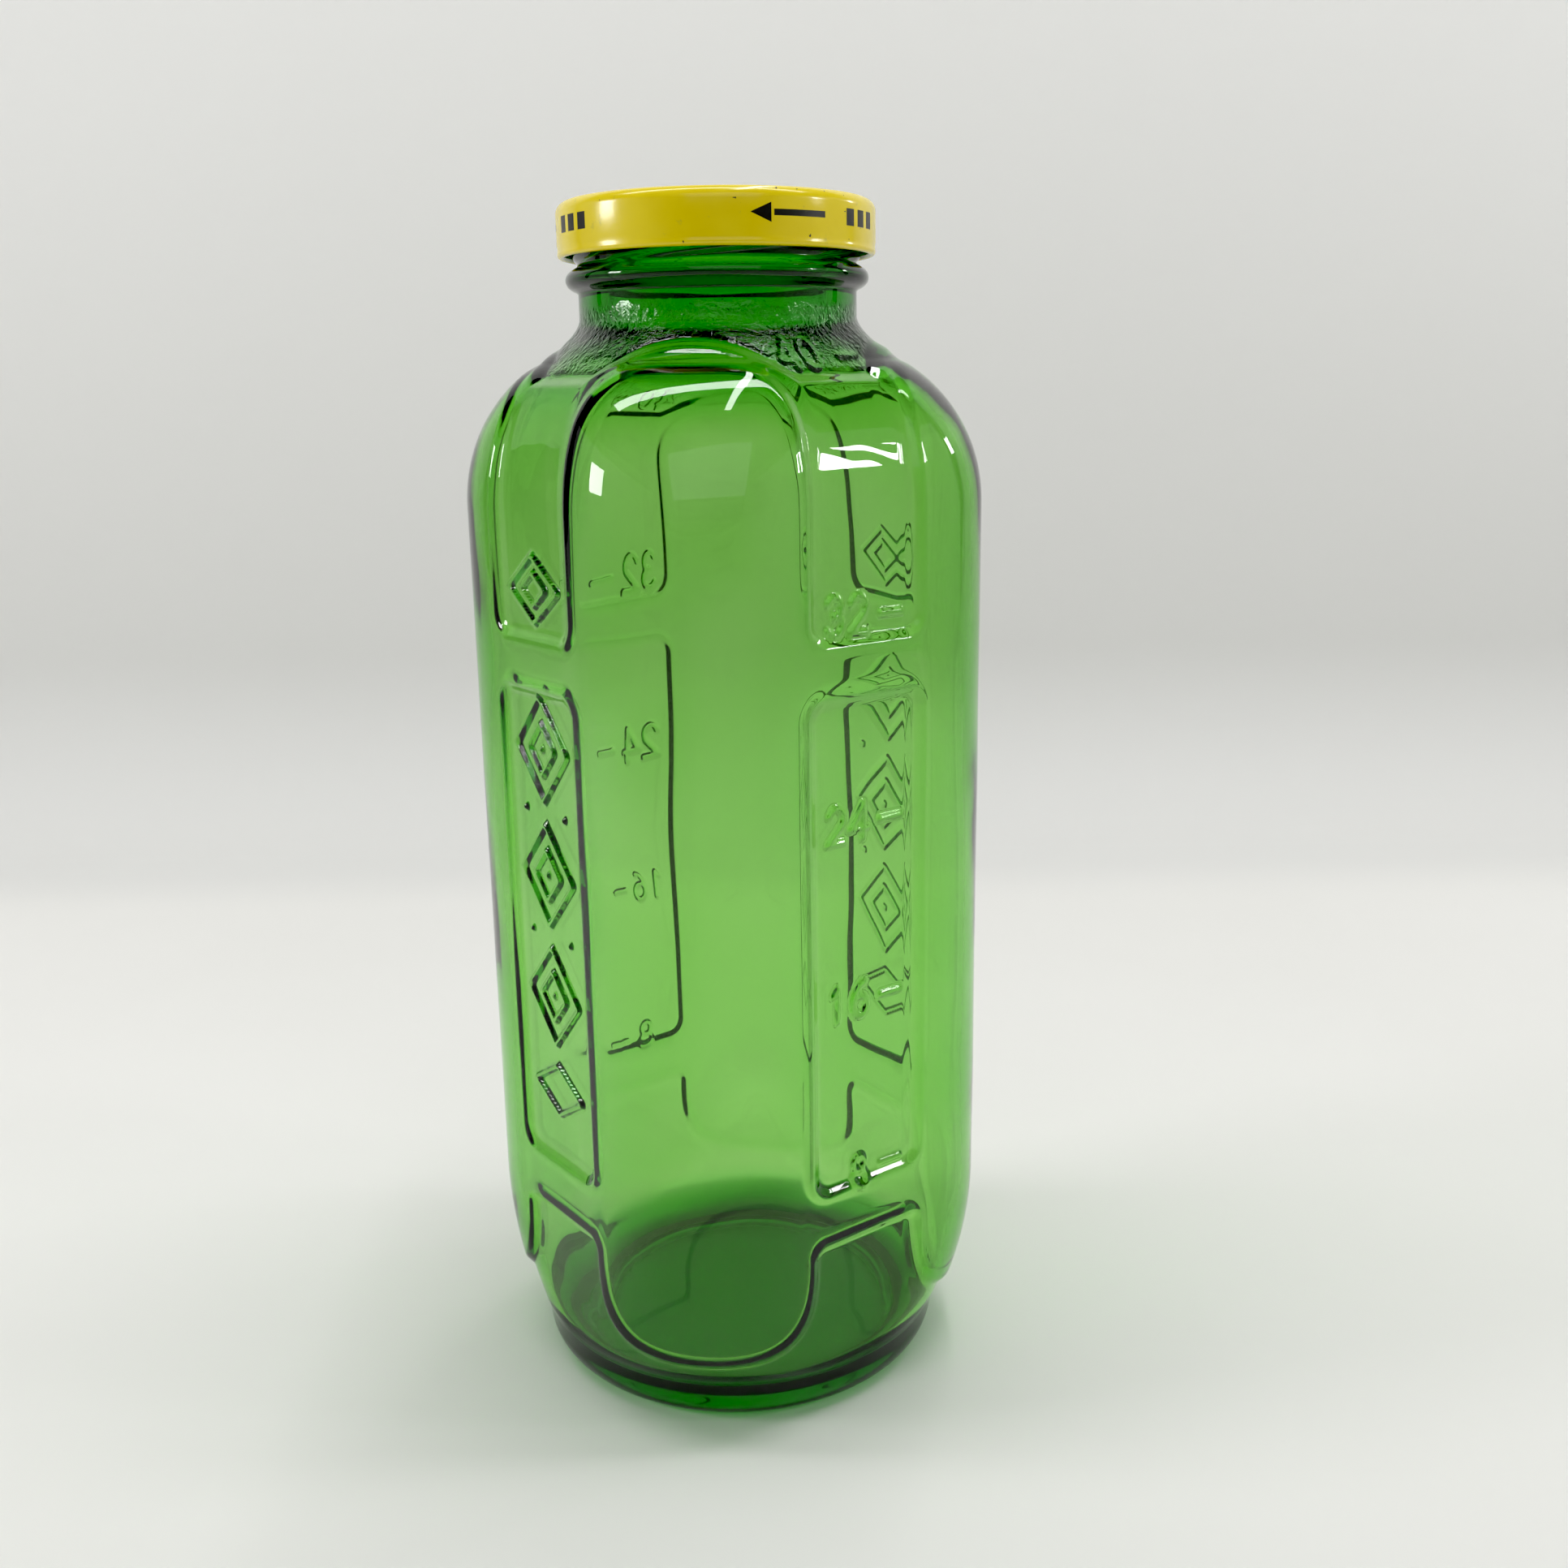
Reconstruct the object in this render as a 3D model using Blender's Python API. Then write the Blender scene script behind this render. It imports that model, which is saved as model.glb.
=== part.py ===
"""Empty green glass refrigerator bottle with a lacquered metal twist cap.

The glass is a rounded square in plan. Its four rounded corners are broad lobes
that stand proud of the shoulder as arches and proud of the round foot as
U shapes. The four flat sides between them carry shallow sunk panels. Lengths
in the constants are millimetres; the meshes are written in metres, with the
origin on the axis at the plane that the bottle stands on.
"""
import math

import bmesh
import bpy

MM = 0.001

# Heights, from the standing plane.
CAP_TOP = 241.3
LIP_TOP = 240.3
CAP_BOTTOM = 231.0
BEAD_HEIGHT = 227.0
SHOULDER_LEDGE = 207.9
SHOULDER_START = 183.8
UPPER_PANEL_BOTTOM = 161.2
LOWER_PANEL_TOP = 150.1
LOWER_PANEL_BOTTOM = 51.7
FOOT_LEDGE = 39.4
HEEL_START = 40.0

# Plan of the body: distance from the axis to a flat side and to a lobe's middle.
FLAT_REACH = 45.6
LOBE_REACH = 52.3

# Shoulder: both reaches fall along quarter ellipses towards these radii.
LOBE_SHOULDER_CORE = 21.4
LOBE_SHOULDER_RISE = 31.4
FLAT_SHOULDER_CORE = 7.0
FLAT_SHOULDER_RISE = 42.0

# Heel: both reaches fall along shallow elliptical arcs towards the foot.
HEEL_DROP = 44.0
LOBE_HEEL_INSET = 25.0
FLAT_HEEL_INSET = 0.5
FOOT_RADIUS = 43.5
FOOT_LEDGE_DEPTH = 1.4
FOOT_BLEND_HEIGHT = 5.0
FOOT_EDGE_HEIGHT = 7.0
STANDING_RING_OUTER = 37.2
STANDING_RING_INNER = 33.6
PUSH_UP = 2.2

# Lobe outline, in degrees from the lobe's middle and in height.
LOBE_HALF_ANGLE = 28.7
ARCH_SPRING = 188.0
ARCH_TOP = 211.6
ARCH_POWER = 3.4
U_SPRING = 38.0
U_BOTTOM = 15.8
U_POWER = 2.8
ARC_PER_DEGREE = 0.829

# Outer arch, where the band above the lobe meets the dome under the neck.
DOME_ARCH_RISE = 6.4
DOME_ARCH_HALF_ANGLE = 31.0
DOME_ARCH_POWER = 2.2

# Depth of the sunk areas, and the width of the slopes that bound them.
PANEL_DEPTH = 1.3
BAND_DEPTH = 0.8
LOBE_DOME_DEPTH = 2.0
FLAT_DOME_DEPTH = 3.0
SLOPE_WIDTH = 1.6
PANEL_CORNER = 3.5
LEDGE_CORNER = 2.5

# Neck and its ring.
NECK_RADIUS = 27.4
NECK_FILLET = 2.6
BEAD_ROUND = 2.4
BEAD_FILLET = 0.9
LIP_OUTER = 26.4
LIP_ROUND = 0.8

# Inside of the glass, which is thicker at the neck, the upper shoulder and the heel.
WALL = 3.4
BORE_RADIUS = 21.6
LIP_INNER = 22.4
INNER_FILLET = 6.0
INNER_LOBE_CORE = 14.0
INNER_LOBE_HEEL_INSET = 27.0
INNER_FLAT_HEEL_INSET = 3.0
FLOOR_HEIGHT = 7.5
FLOOR_ROUND = 5.0

# Cap.
CAP_RADIUS = 31.05
CAP_METAL = 0.6
CAP_CORNER = 2.2
CAP_PANEL_RADIUS = 22.5
CAP_PANEL_SINK = 0.5
CURL_RADIUS = 0.75
LUG_COUNT = 4
LUG_ANGLE = 16.0
LUG_INNER = 28.4
LUG_THICKNESS = 0.8

# Turn of the whole object about its axis, in degrees.
LOBE_TURN = -7.5

# Azimuths of the mesh lines between a lobe's middle and a flat side's middle.
OUTER_AZIMUTHS = (0.0, 5.0, 10.0, 15.0, 19.5, 23.5, 27.3, 30.1, 34.5, 39.5)
INNER_AZIMUTHS = (0.0, 10.0, 19.5, 27.3, 36.0)
EIGHTH_TURN = 45.0


def smooth_step(distance, width):
    """0 below -width/2, 1 above width/2, with an S-shaped rise between."""
    t = min(max(distance / width + 0.5, 0.0), 1.0)
    return t * t * (3.0 - 2.0 * t)


def smooth_max(a, b, radius):
    """The larger of two values, rounded where they are closer than the radius."""
    h = max(radius - abs(a - b), 0.0) / radius
    return max(a, b) + h * h * radius * 0.25


def quarter_arc(distance, span):
    """Height of a unit quarter ellipse at a distance along its span."""
    t = min(max(distance / span, 0.0), 1.0)
    return math.sqrt(1.0 - t * t)


def power_norm(x, y, power):
    """Superellipse norm: 1 on the curve, less inside, more outside."""
    return (abs(x) ** power + abs(y) ** power) ** (1.0 / power)


def rounded_corner(dx, dy, radius):
    """Signed distance to a convex corner of two edges, rounded by the radius."""
    qx = dx + radius
    qy = dy + radius
    outside = math.hypot(max(qx, 0.0), max(qy, 0.0))
    return min(max(qx, qy), 0.0) + outside - radius


def plan_radius(azimuth, flat, lobe):
    """Radius of the rounded square at an azimuth in degrees from a lobe's middle."""
    lobe = max(lobe, flat + 0.01)
    corner = (math.sqrt(2.0) * flat - lobe) / (math.sqrt(2.0) - 1.0)
    corner = max(corner, 0.5)
    centre = lobe - corner
    tangent = math.atan2(corner, centre * math.sqrt(2.0) + corner)
    angle = math.radians(abs(azimuth))
    if angle > tangent:
        return flat / math.cos(math.radians(EIGHTH_TURN) - angle)
    across = centre * math.sin(angle)
    return centre * math.cos(angle) + math.sqrt(corner * corner - across * across)


def body_reaches(z):
    """Reach of the flat sides and of the lobes at a height, without relief."""
    above = max(z - SHOULDER_START, 0.0)
    below = max(HEEL_START - z, 0.0)
    flat_span = FLAT_REACH - FLAT_SHOULDER_CORE
    lobe_span = LOBE_REACH - LOBE_SHOULDER_CORE
    flat = FLAT_SHOULDER_CORE + flat_span * quarter_arc(above, FLAT_SHOULDER_RISE)
    lobe = LOBE_SHOULDER_CORE + lobe_span * quarter_arc(above, LOBE_SHOULDER_RISE)
    inset = 1.0 - quarter_arc(below, HEEL_DROP)
    return flat - FLAT_HEEL_INSET * inset, lobe - LOBE_HEEL_INSET * inset


def lobe_distance(azimuth, z):
    """Signed distance to the outline of a lobe, negative on the lobe."""
    half_width = LOBE_HALF_ANGLE * ARC_PER_DEGREE
    across = abs(azimuth) * ARC_PER_DEGREE
    if z > ARCH_SPRING:
        rise = ARCH_TOP - ARCH_SPRING
        norm = power_norm(across / half_width, (z - ARCH_SPRING) / rise, ARCH_POWER)
        return (norm - 1.0) * half_width
    if z < U_SPRING:
        drop = U_SPRING - U_BOTTOM
        norm = power_norm(across / half_width, (U_SPRING - z) / drop, U_POWER)
        return (norm - 1.0) * half_width
    return across - half_width


def dome_edge(azimuth):
    """Height where the band over a lobe, or a flat side, meets the dome."""
    t = min(abs(azimuth) / DOME_ARCH_HALF_ANGLE, 1.0)
    return SHOULDER_LEDGE + DOME_ARCH_RISE * (1.0 - t ** DOME_ARCH_POWER)


def sunk_panels(azimuth, z):
    """Depth of the sunk side panels and of the bands over the lobes."""
    side = -lobe_distance(azimuth, z)
    upper = rounded_corner(side, UPPER_PANEL_BOTTOM - z, PANEL_CORNER)
    middle = 0.5 * (LOWER_PANEL_TOP + LOWER_PANEL_BOTTOM)
    half = 0.5 * (LOWER_PANEL_TOP - LOWER_PANEL_BOTTOM)
    lower = rounded_corner(side, abs(z - middle) - half, PANEL_CORNER)
    spread = smooth_step(abs(azimuth) - LOBE_HALF_ANGLE, 8.0)
    depth = BAND_DEPTH + (PANEL_DEPTH - BAND_DEPTH) * spread
    upper_depth = depth * smooth_step(-upper, SLOPE_WIDTH)
    lower_depth = PANEL_DEPTH * smooth_step(-lower, SLOPE_WIDTH)
    return max(upper_depth, lower_depth)


def foot_radius(z, body):
    """Radius of the foot: a sunk copy of the body that turns round at its lower edge."""
    below = max(FOOT_EDGE_HEIGHT - z, 0.0)
    rounding = FOOT_RADIUS - STANDING_RING_OUTER
    edge = FOOT_RADIUS - rounding * (1.0 - quarter_arc(below, FOOT_EDGE_HEIGHT))
    share = min(max(z - FOOT_EDGE_HEIGHT, 0.0) / FOOT_BLEND_HEIGHT, 1.0)
    return edge + (body - FOOT_LEDGE_DEPTH - edge) * share


def neck_radius(z):
    """Radius of the neck with its ring and the rounded lip."""
    root = NECK_RADIUS - BEAD_FILLET
    ring = root + (BEAD_ROUND + BEAD_FILLET) * quarter_arc(abs(z - BEAD_HEIGHT), BEAD_ROUND)
    radius = smooth_max(NECK_RADIUS, ring, BEAD_FILLET)
    near_lip = max(z - (LIP_TOP - LIP_ROUND), 0.0)
    return radius - (NECK_RADIUS - LIP_OUTER) * (1.0 - quarter_arc(near_lip, LIP_ROUND))


def outer_radius(azimuth, z):
    """Outside of the glass at an azimuth from the nearest lobe and a height."""
    flat, lobe = body_reaches(z)
    body = plan_radius(azimuth, flat, lobe) - sunk_panels(azimuth, z)
    spread = smooth_step(abs(azimuth) - LOBE_HALF_ANGLE * 0.7, 20.0)
    dome_depth = LOBE_DOME_DEPTH + (FLAT_DOME_DEPTH - LOBE_DOME_DEPTH) * spread
    dome = plan_radius(azimuth, flat - dome_depth, lobe - dome_depth)
    on_dome = smooth_step(z - dome_edge(azimuth), SLOPE_WIDTH)
    body += (dome - body) * on_dome
    foot_zone = rounded_corner(-lobe_distance(azimuth, z), z - FOOT_LEDGE, LEDGE_CORNER)
    on_foot = smooth_step(-foot_zone, SLOPE_WIDTH)
    body += (min(foot_radius(z, body), body) - body) * on_foot
    return smooth_max(body, neck_radius(z), NECK_FILLET) if z > SHOULDER_START else body


def inner_radius(azimuth, z):
    """Inside of the glass, a smooth copy of the outside one wall further in."""
    above = max(z - SHOULDER_START, 0.0)
    flat_span = FLAT_REACH - WALL - FLAT_SHOULDER_CORE
    lobe_span = LOBE_REACH - WALL - INNER_LOBE_CORE
    flat_rise = FLAT_SHOULDER_RISE - WALL - FLAT_DOME_DEPTH
    flat = FLAT_SHOULDER_CORE + flat_span * quarter_arc(above, flat_rise)
    lobe = INNER_LOBE_CORE + lobe_span * quarter_arc(above, LOBE_SHOULDER_RISE - WALL)
    inset = 1.0 - quarter_arc(max(HEEL_START - z, 0.0), HEEL_DROP)
    near_floor = max(FLOOR_HEIGHT + FLOOR_ROUND - z, 0.0)
    rounding = FLOOR_ROUND * (1.0 - quarter_arc(near_floor, FLOOR_ROUND))
    flat -= INNER_FLAT_HEEL_INSET * inset + rounding
    lobe -= INNER_LOBE_HEEL_INSET * inset + rounding
    body = plan_radius(azimuth, flat, lobe)
    return smooth_max(body, BORE_RADIUS, INNER_FILLET) if z > SHOULDER_START else body


def full_turn(azimuths):
    """Every azimuth round the bottle, as pairs of local and world degrees."""
    turn = []
    for lobe in range(4):
        middle = lobe * 2.0 * EIGHTH_TURN
        turn += [(a, middle + a) for a in azimuths]
        turn.append((EIGHTH_TURN, middle + EIGHTH_TURN))
        turn += [(a, middle + 2.0 * EIGHTH_TURN - a) for a in reversed(azimuths[1:])]
    return turn


def ring_points(azimuths, z, radius_of):
    """Points of one level ring of the glass, in metres."""
    points = []
    for local, world in full_turn(azimuths):
        angle = math.radians(world + LOBE_TURN - 90.0)
        radius = radius_of(local, z) * MM
        points.append((radius * math.cos(angle), radius * math.sin(angle), z * MM))
    return points


def circle_points(azimuths, radius, z):
    """Points of one round ring on the same azimuths as the rest of the glass."""
    return ring_points(azimuths, z, lambda local, height: radius)


def outer_heights():
    """Heights of the rings outside the glass, closer together where the form turns."""
    half = 0.5 * SLOPE_WIDTH
    foot = [1.2, 3.6, FOOT_EDGE_HEIGHT, 9.4, 12.0, 14.4, 16.8, 19.0, 21.6, 24.8, 29.5, 35.0]
    ledges = [FOOT_LEDGE - half, FOOT_LEDGE + half]
    ledges += [LOWER_PANEL_BOTTOM - half, LOWER_PANEL_BOTTOM + half, 76.0, 101.0, 126.0]
    ledges += [LOWER_PANEL_TOP - half, LOWER_PANEL_TOP + half]
    ledges += [UPPER_PANEL_BOTTOM - half, UPPER_PANEL_BOTTOM + half, 175.0]
    shoulder = [187.0, 193.5, 198.5, 202.2, 205.0, SHOULDER_LEDGE - half, SHOULDER_LEDGE + half]
    shoulder += [210.4, 211.8, 213.2, 214.6, 216.2, 218.0, 220.5]
    ring = [BEAD_HEIGHT + BEAD_ROUND * math.sin(math.radians(22.5 * k)) for k in range(-4, 5)]
    finish = [235.0, LIP_TOP - LIP_ROUND, LIP_TOP - 0.3 * LIP_ROUND]
    return foot + ledges + shoulder + ring + finish


def inner_heights():
    """Heights of the rings inside the glass, from the lip down to the floor."""
    neck = [LIP_TOP - LIP_ROUND, 228.0, 219.5, 216.0, 213.0, 210.0, 206.0, 200.5, 193.0]
    floor = [FLOOR_HEIGHT + FLOOR_ROUND * (1.0 - math.sin(math.radians(18.0 * k))) for k in range(6)]
    return neck + [SHOULDER_START, 145.0, 95.0, HEEL_START, 30.0, 20.0] + floor


def add_ring(mesh, points):
    return [mesh.verts.new(p) for p in points]


def join_rings(mesh, first, second):
    """Quads between two rings with the same number of points."""
    count = len(first)
    for k in range(count):
        n = (k + 1) % count
        mesh.faces.new((first[k], first[n], second[n], second[k]))


def join_to_half(mesh, dense, sparse):
    """Triangles between a ring and one with every second point left out."""
    count = len(sparse)
    for k in range(count):
        n = (k + 1) % count
        a, b, c = dense[2 * k], dense[2 * k + 1], dense[(2 * k + 2) % len(dense)]
        mesh.faces.new((a, b, sparse[k]))
        mesh.faces.new((b, sparse[n], sparse[k]))
        mesh.faces.new((b, c, sparse[n]))


def close_ring(mesh, ring, centre, outward_first):
    """Fan from a ring to a point on the axis."""
    tip = mesh.verts.new(centre)
    count = len(ring)
    for k in range(count):
        n = (k + 1) % count
        pair = (ring[n], ring[k]) if outward_first else (ring[k], ring[n])
        mesh.faces.new((tip, pair[0], pair[1]))


def finish_object(name, mesh, material, sharp_angle=35.0):
    """Turns a bmesh into an object with outward faces and smooth shading."""
    bmesh.ops.recalc_face_normals(mesh, faces=mesh.faces)
    data = bpy.data.meshes.new(name)
    mesh.to_mesh(data)
    mesh.free()
    data.shade_smooth()
    data.set_sharp_from_angle(angle=math.radians(sharp_angle))
    data.materials.append(material)
    thing = bpy.data.objects.new(name, data)
    bpy.context.scene.collection.objects.link(thing)
    return thing


def make_material(name, colour, roughness, metallic, transmission=0.0):
    material = bpy.data.materials.new(name)
    material.use_nodes = True
    shader = material.node_tree.nodes["Principled BSDF"]
    shader.inputs["Base Color"].default_value = (*colour, 1.0)
    shader.inputs["Roughness"].default_value = roughness
    shader.inputs["Metallic"].default_value = metallic
    shader.inputs["Transmission Weight"].default_value = transmission
    return material


def build_bottle():
    """The glass: push-up base, outside, lip, inside and floor as one closed skin."""
    mesh = bmesh.new()
    rings = [circle_points(OUTER_AZIMUTHS, 0.55 * STANDING_RING_INNER, PUSH_UP)]
    rings.append(circle_points(OUTER_AZIMUTHS, STANDING_RING_INNER - 2.0, 0.8 * PUSH_UP))
    rings.append(circle_points(OUTER_AZIMUTHS, STANDING_RING_INNER, 0.0))
    rings.append(circle_points(OUTER_AZIMUTHS, STANDING_RING_OUTER, 0.0))
    rings += [ring_points(OUTER_AZIMUTHS, z, outer_radius) for z in outer_heights()]
    rings.append(circle_points(OUTER_AZIMUTHS, LIP_OUTER, LIP_TOP))
    outside = [add_ring(mesh, ring) for ring in rings]
    for first, second in zip(outside, outside[1:]):
        join_rings(mesh, first, second)
    close_ring(mesh, outside[0], (0.0, 0.0, PUSH_UP * MM), True)

    rings = [circle_points(INNER_AZIMUTHS, LIP_INNER, LIP_TOP)]
    rings += [ring_points(INNER_AZIMUTHS, z, inner_radius) for z in inner_heights()]
    rings.append(circle_points(INNER_AZIMUTHS, 0.5 * BORE_RADIUS, FLOOR_HEIGHT))
    inside = [add_ring(mesh, ring) for ring in rings]
    for first, second in zip(inside, inside[1:]):
        join_rings(mesh, first, second)
    close_ring(mesh, inside[-1], (0.0, 0.0, FLOOR_HEIGHT * MM), False)
    join_to_half(mesh, outside[-1], inside[0])

    glass = make_material("green_glass", (0.03, 0.32, 0.05), 0.04, 0.0, 0.9)
    return finish_object("bottle", mesh, glass)


def cap_outer_profile():
    """Outside of the cap from the axis to the rolled edge, as radius and height."""
    profile = [(CAP_PANEL_RADIUS - 1.0, CAP_TOP - CAP_PANEL_SINK), (CAP_PANEL_RADIUS, CAP_TOP)]
    for step in range(4):
        angle = math.radians(90.0 - 30.0 * step)
        radius = CAP_RADIUS - CAP_CORNER + CAP_CORNER * math.cos(angle)
        profile.append((radius, CAP_TOP - CAP_CORNER + CAP_CORNER * math.sin(angle)))
    for step in range(5):
        angle = math.radians(-45.0 * step)
        radius = CAP_RADIUS - CURL_RADIUS + CURL_RADIUS * math.cos(angle)
        profile.append((radius, CAP_BOTTOM + CURL_RADIUS + CURL_RADIUS * math.sin(angle)))
    return profile


def cap_inner_profile():
    """Inside of the cap from the rolled edge back to the axis."""
    wall = CAP_RADIUS - CAP_METAL
    under = CAP_TOP - CAP_METAL
    corner = CAP_CORNER - CAP_METAL
    profile = [(wall, CAP_BOTTOM + 2.2 * CURL_RADIUS), (wall, under - corner)]
    profile += [(wall - 0.3 * corner, under - 0.3 * corner), (wall - corner, under)]
    sunk = under - CAP_PANEL_SINK
    return profile + [(CAP_PANEL_RADIUS, under), (CAP_PANEL_RADIUS - 1.0, sunk)]


def turned_ring(radius, height, count):
    points = []
    for k in range(count):
        angle = math.tau * k / count
        points.append((radius * MM * math.cos(angle), radius * MM * math.sin(angle), height * MM))
    return points


def add_lug(mesh, middle):
    """One tab bent in under the rolled edge, as a curved block set into the curl."""
    outer = CAP_RADIUS - CURL_RADIUS
    low = CAP_BOTTOM + 0.35 * CURL_RADIUS
    slices = []
    for step in range(4):
        angle = math.radians(middle + LUG_ANGLE * (step / 3.0 - 0.5))
        inner = LUG_INNER + (0.5 if step in (0, 3) else 0.0)
        corners = ((outer, low), (inner, low), (inner, low + LUG_THICKNESS), (outer, low + LUG_THICKNESS))
        direction = (math.cos(angle), math.sin(angle))
        points = [(r * MM * direction[0], r * MM * direction[1], z * MM) for r, z in corners]
        slices.append([mesh.verts.new(p) for p in points])
    for first, second in zip(slices, slices[1:]):
        for k in range(4):
            n = (k + 1) % 4
            mesh.faces.new((first[k], first[n], second[n], second[k]))
    mesh.faces.new(slices[0])
    mesh.faces.new(reversed(slices[-1]))


def build_cap():
    """Pressed metal shell with a rolled edge, and its lugs united with it."""
    lacquer = make_material("yellow_lacquer", (0.75, 0.62, 0.01), 0.25, 0.0)
    count = 64
    mesh = bmesh.new()
    profile = cap_outer_profile() + cap_inner_profile()
    rings = [add_ring(mesh, turned_ring(r, z, count)) for r, z in profile]
    for first, second in zip(rings, rings[1:]):
        join_rings(mesh, first, second)
    close_ring(mesh, rings[0], (0.0, 0.0, profile[0][1] * MM), True)
    close_ring(mesh, rings[-1], (0.0, 0.0, profile[-1][1] * MM), False)
    cap = finish_object("cap", mesh, lacquer)

    lugs = bpy.data.collections.new("cap_lugs")
    bpy.context.scene.collection.children.link(lugs)
    for k in range(LUG_COUNT):
        block = bmesh.new()
        add_lug(block, 360.0 * k / LUG_COUNT + LOBE_TURN + 45.0)
        lug = finish_object("lug_guide_%d" % k, block, lacquer)
        bpy.context.scene.collection.objects.unlink(lug)
        lugs.objects.link(lug)
        lug.hide_render = True
        lug.display_type = "WIRE"
    union = cap.modifiers.new("lugs", "BOOLEAN")
    union.operation = "UNION"
    union.operand_type = "COLLECTION"
    union.collection = lugs
    union.solver = "EXACT"
    return cap


def main():
    for thing in list(bpy.data.objects):
        bpy.data.objects.remove(thing)
    build_bottle()
    build_cap()


main()
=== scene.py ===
"""Looks of an empty green glass refrigerator bottle with a yellow twist cap.

Lengths in the constants are millimetres where no heading says otherwise. Azimuths are
degrees from the middle of the front lobe, growing towards the viewer's right.
"""
import math

import bmesh
import bpy
import numpy as np
from mathutils import Matrix, Vector


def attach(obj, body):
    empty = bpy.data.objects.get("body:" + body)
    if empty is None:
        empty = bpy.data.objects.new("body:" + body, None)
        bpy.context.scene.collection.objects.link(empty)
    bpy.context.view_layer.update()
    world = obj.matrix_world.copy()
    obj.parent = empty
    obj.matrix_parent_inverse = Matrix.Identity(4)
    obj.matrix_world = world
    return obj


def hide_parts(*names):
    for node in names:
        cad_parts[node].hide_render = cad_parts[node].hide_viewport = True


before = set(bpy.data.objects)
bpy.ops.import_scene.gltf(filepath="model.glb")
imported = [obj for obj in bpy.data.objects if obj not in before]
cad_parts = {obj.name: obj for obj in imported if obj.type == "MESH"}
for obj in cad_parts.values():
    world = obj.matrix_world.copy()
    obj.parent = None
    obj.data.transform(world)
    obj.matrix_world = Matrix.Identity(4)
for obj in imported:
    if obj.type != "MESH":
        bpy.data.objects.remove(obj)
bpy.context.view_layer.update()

MM = 0.001
LOBE_TURN = -7.5

# Heights.
LIP_TOP = 240.3
BEAD_HEIGHT = 227.0
SHOULDER_LEDGE = 207.9
SHOULDER_START = 183.8
UPPER_PANEL_BOTTOM = 161.2
LOWER_PANEL_TOP = 150.1
LOWER_PANEL_BOTTOM = 51.7
FOOT_LEDGE = 39.4
HEEL_START = 40.0

# Plan, shoulder and heel.
FLAT_REACH = 45.6
LOBE_REACH = 52.3
LOBE_SHOULDER_CORE = 21.4
LOBE_SHOULDER_RISE = 31.4
FLAT_SHOULDER_CORE = 7.0
FLAT_SHOULDER_RISE = 42.0
HEEL_DROP = 44.0
LOBE_HEEL_INSET = 25.0
FLAT_HEEL_INSET = 0.5

# Foot.
FOOT_RADIUS = 43.5
FOOT_LEDGE_DEPTH = 1.4
FOOT_BLEND_HEIGHT = 5.0
FOOT_EDGE_HEIGHT = 7.0
STANDING_RING_OUTER = 37.2
STANDING_RING_INNER = 33.6
PUSH_UP = 2.2

# Outlines of the lobes and of the dome under the neck.
LOBE_HALF_ANGLE = 28.7
ARC_PER_DEGREE = 0.829
ARCH_SPRING = 188.0
ARCH_TOP = 211.6
ARCH_POWER = 3.4
U_SPRING = 38.0
U_BOTTOM = 15.8
U_POWER = 2.8
DOME_ARCH_RISE = 6.4
DOME_ARCH_HALF_ANGLE = 31.0
DOME_ARCH_POWER = 2.2

# Depths of the sunk areas and width of the slopes round them.
PANEL_DEPTH = 1.3
BAND_DEPTH = 0.8
LOBE_DOME_DEPTH = 2.0
FLAT_DOME_DEPTH = 3.0
SLOPE_WIDTH = 2.6
DOME_SLOPE_WIDTH = 2.0
PANEL_CORNER = 3.5
LEDGE_CORNER = 2.5

# Neck and lip.
NECK_RADIUS = 27.4
NECK_FILLET = 2.6
BEAD_ROUND = 2.4
BEAD_FILLET = 0.9
LIP_OUTER = 26.4
LIP_INNER = 22.4
LIP_ROUND = 0.8

# Wall, inside surface and how closely it follows the sunk areas.
WALL = 3.4
BORE_RADIUS = 21.6
INNER_FILLET = 2.5
INNER_LOBE_CORE = 19.0
INNER_LOBE_HEEL_INSET = 27.0
INNER_FLAT_HEEL_INSET = 3.0
FLOOR_HEIGHT = 7.5
FLOOR_ROUND = 5.0
INNER_SLOPE_WIDTH = 5.2
INNER_SPREAD = 1.2
INNER_FOLLOW = 0.85
INNER_EASE = 0.7
SHOULDER_EASE = 0.6

# Surface of the moulded glass.
SKIN_INSET = 0.04
SWELL = 0.05
SWELL_LOW = 12.0
INNER_SWELL = 0.16
PEBBLE_SIZE = 1.1
PEBBLE_DEPTH = 0.1
PEBBLE_ROWS = 64
PEBBLE_ORIGIN = 180.0
PEBBLE_MARGIN = 1.6
PEBBLE_TOP = 221.0

# Thread ridges under the cap.
THREAD_STARTS = 4
THREAD_FIRST = -40.0
THREAD_SPAN = 84.0
THREAD_LOW = 228.8
THREAD_PITCH = 16.5
THREAD_HEIGHT = 0.8
THREAD_HALF_WIDTH = 1.2
THREAD_RUN_OUT = 10.0

# Floor, backdrop and side walls, in metres.
STAGE_FRONT = -2.2
BEND_START = 0.37
BEND_RADIUS = 0.08
SHADE_START = 0.29
SHADE_END = 0.35
WALL_HEIGHT = 0.9
SIDE_REACH = 1.0
SIDE_ROUND = 0.4
BEND_STEPS = 12

# Raised marks on the flat sides.
MARK_HEIGHT = 0.7
MARK_HALF_WIDTH = 0.55
MARK_EDGE = 0.6
MARK_REACH = 2.0
MARK_SIDE_ANGLE = 20.0
DIGIT_HEIGHT = 6.6
DIGIT_WIDTH = 3.9
DIGIT_GAP = 1.5
NUMBER_LEFT = -9.2
DASH_ENDS = (3.6, 8.8)

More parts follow.
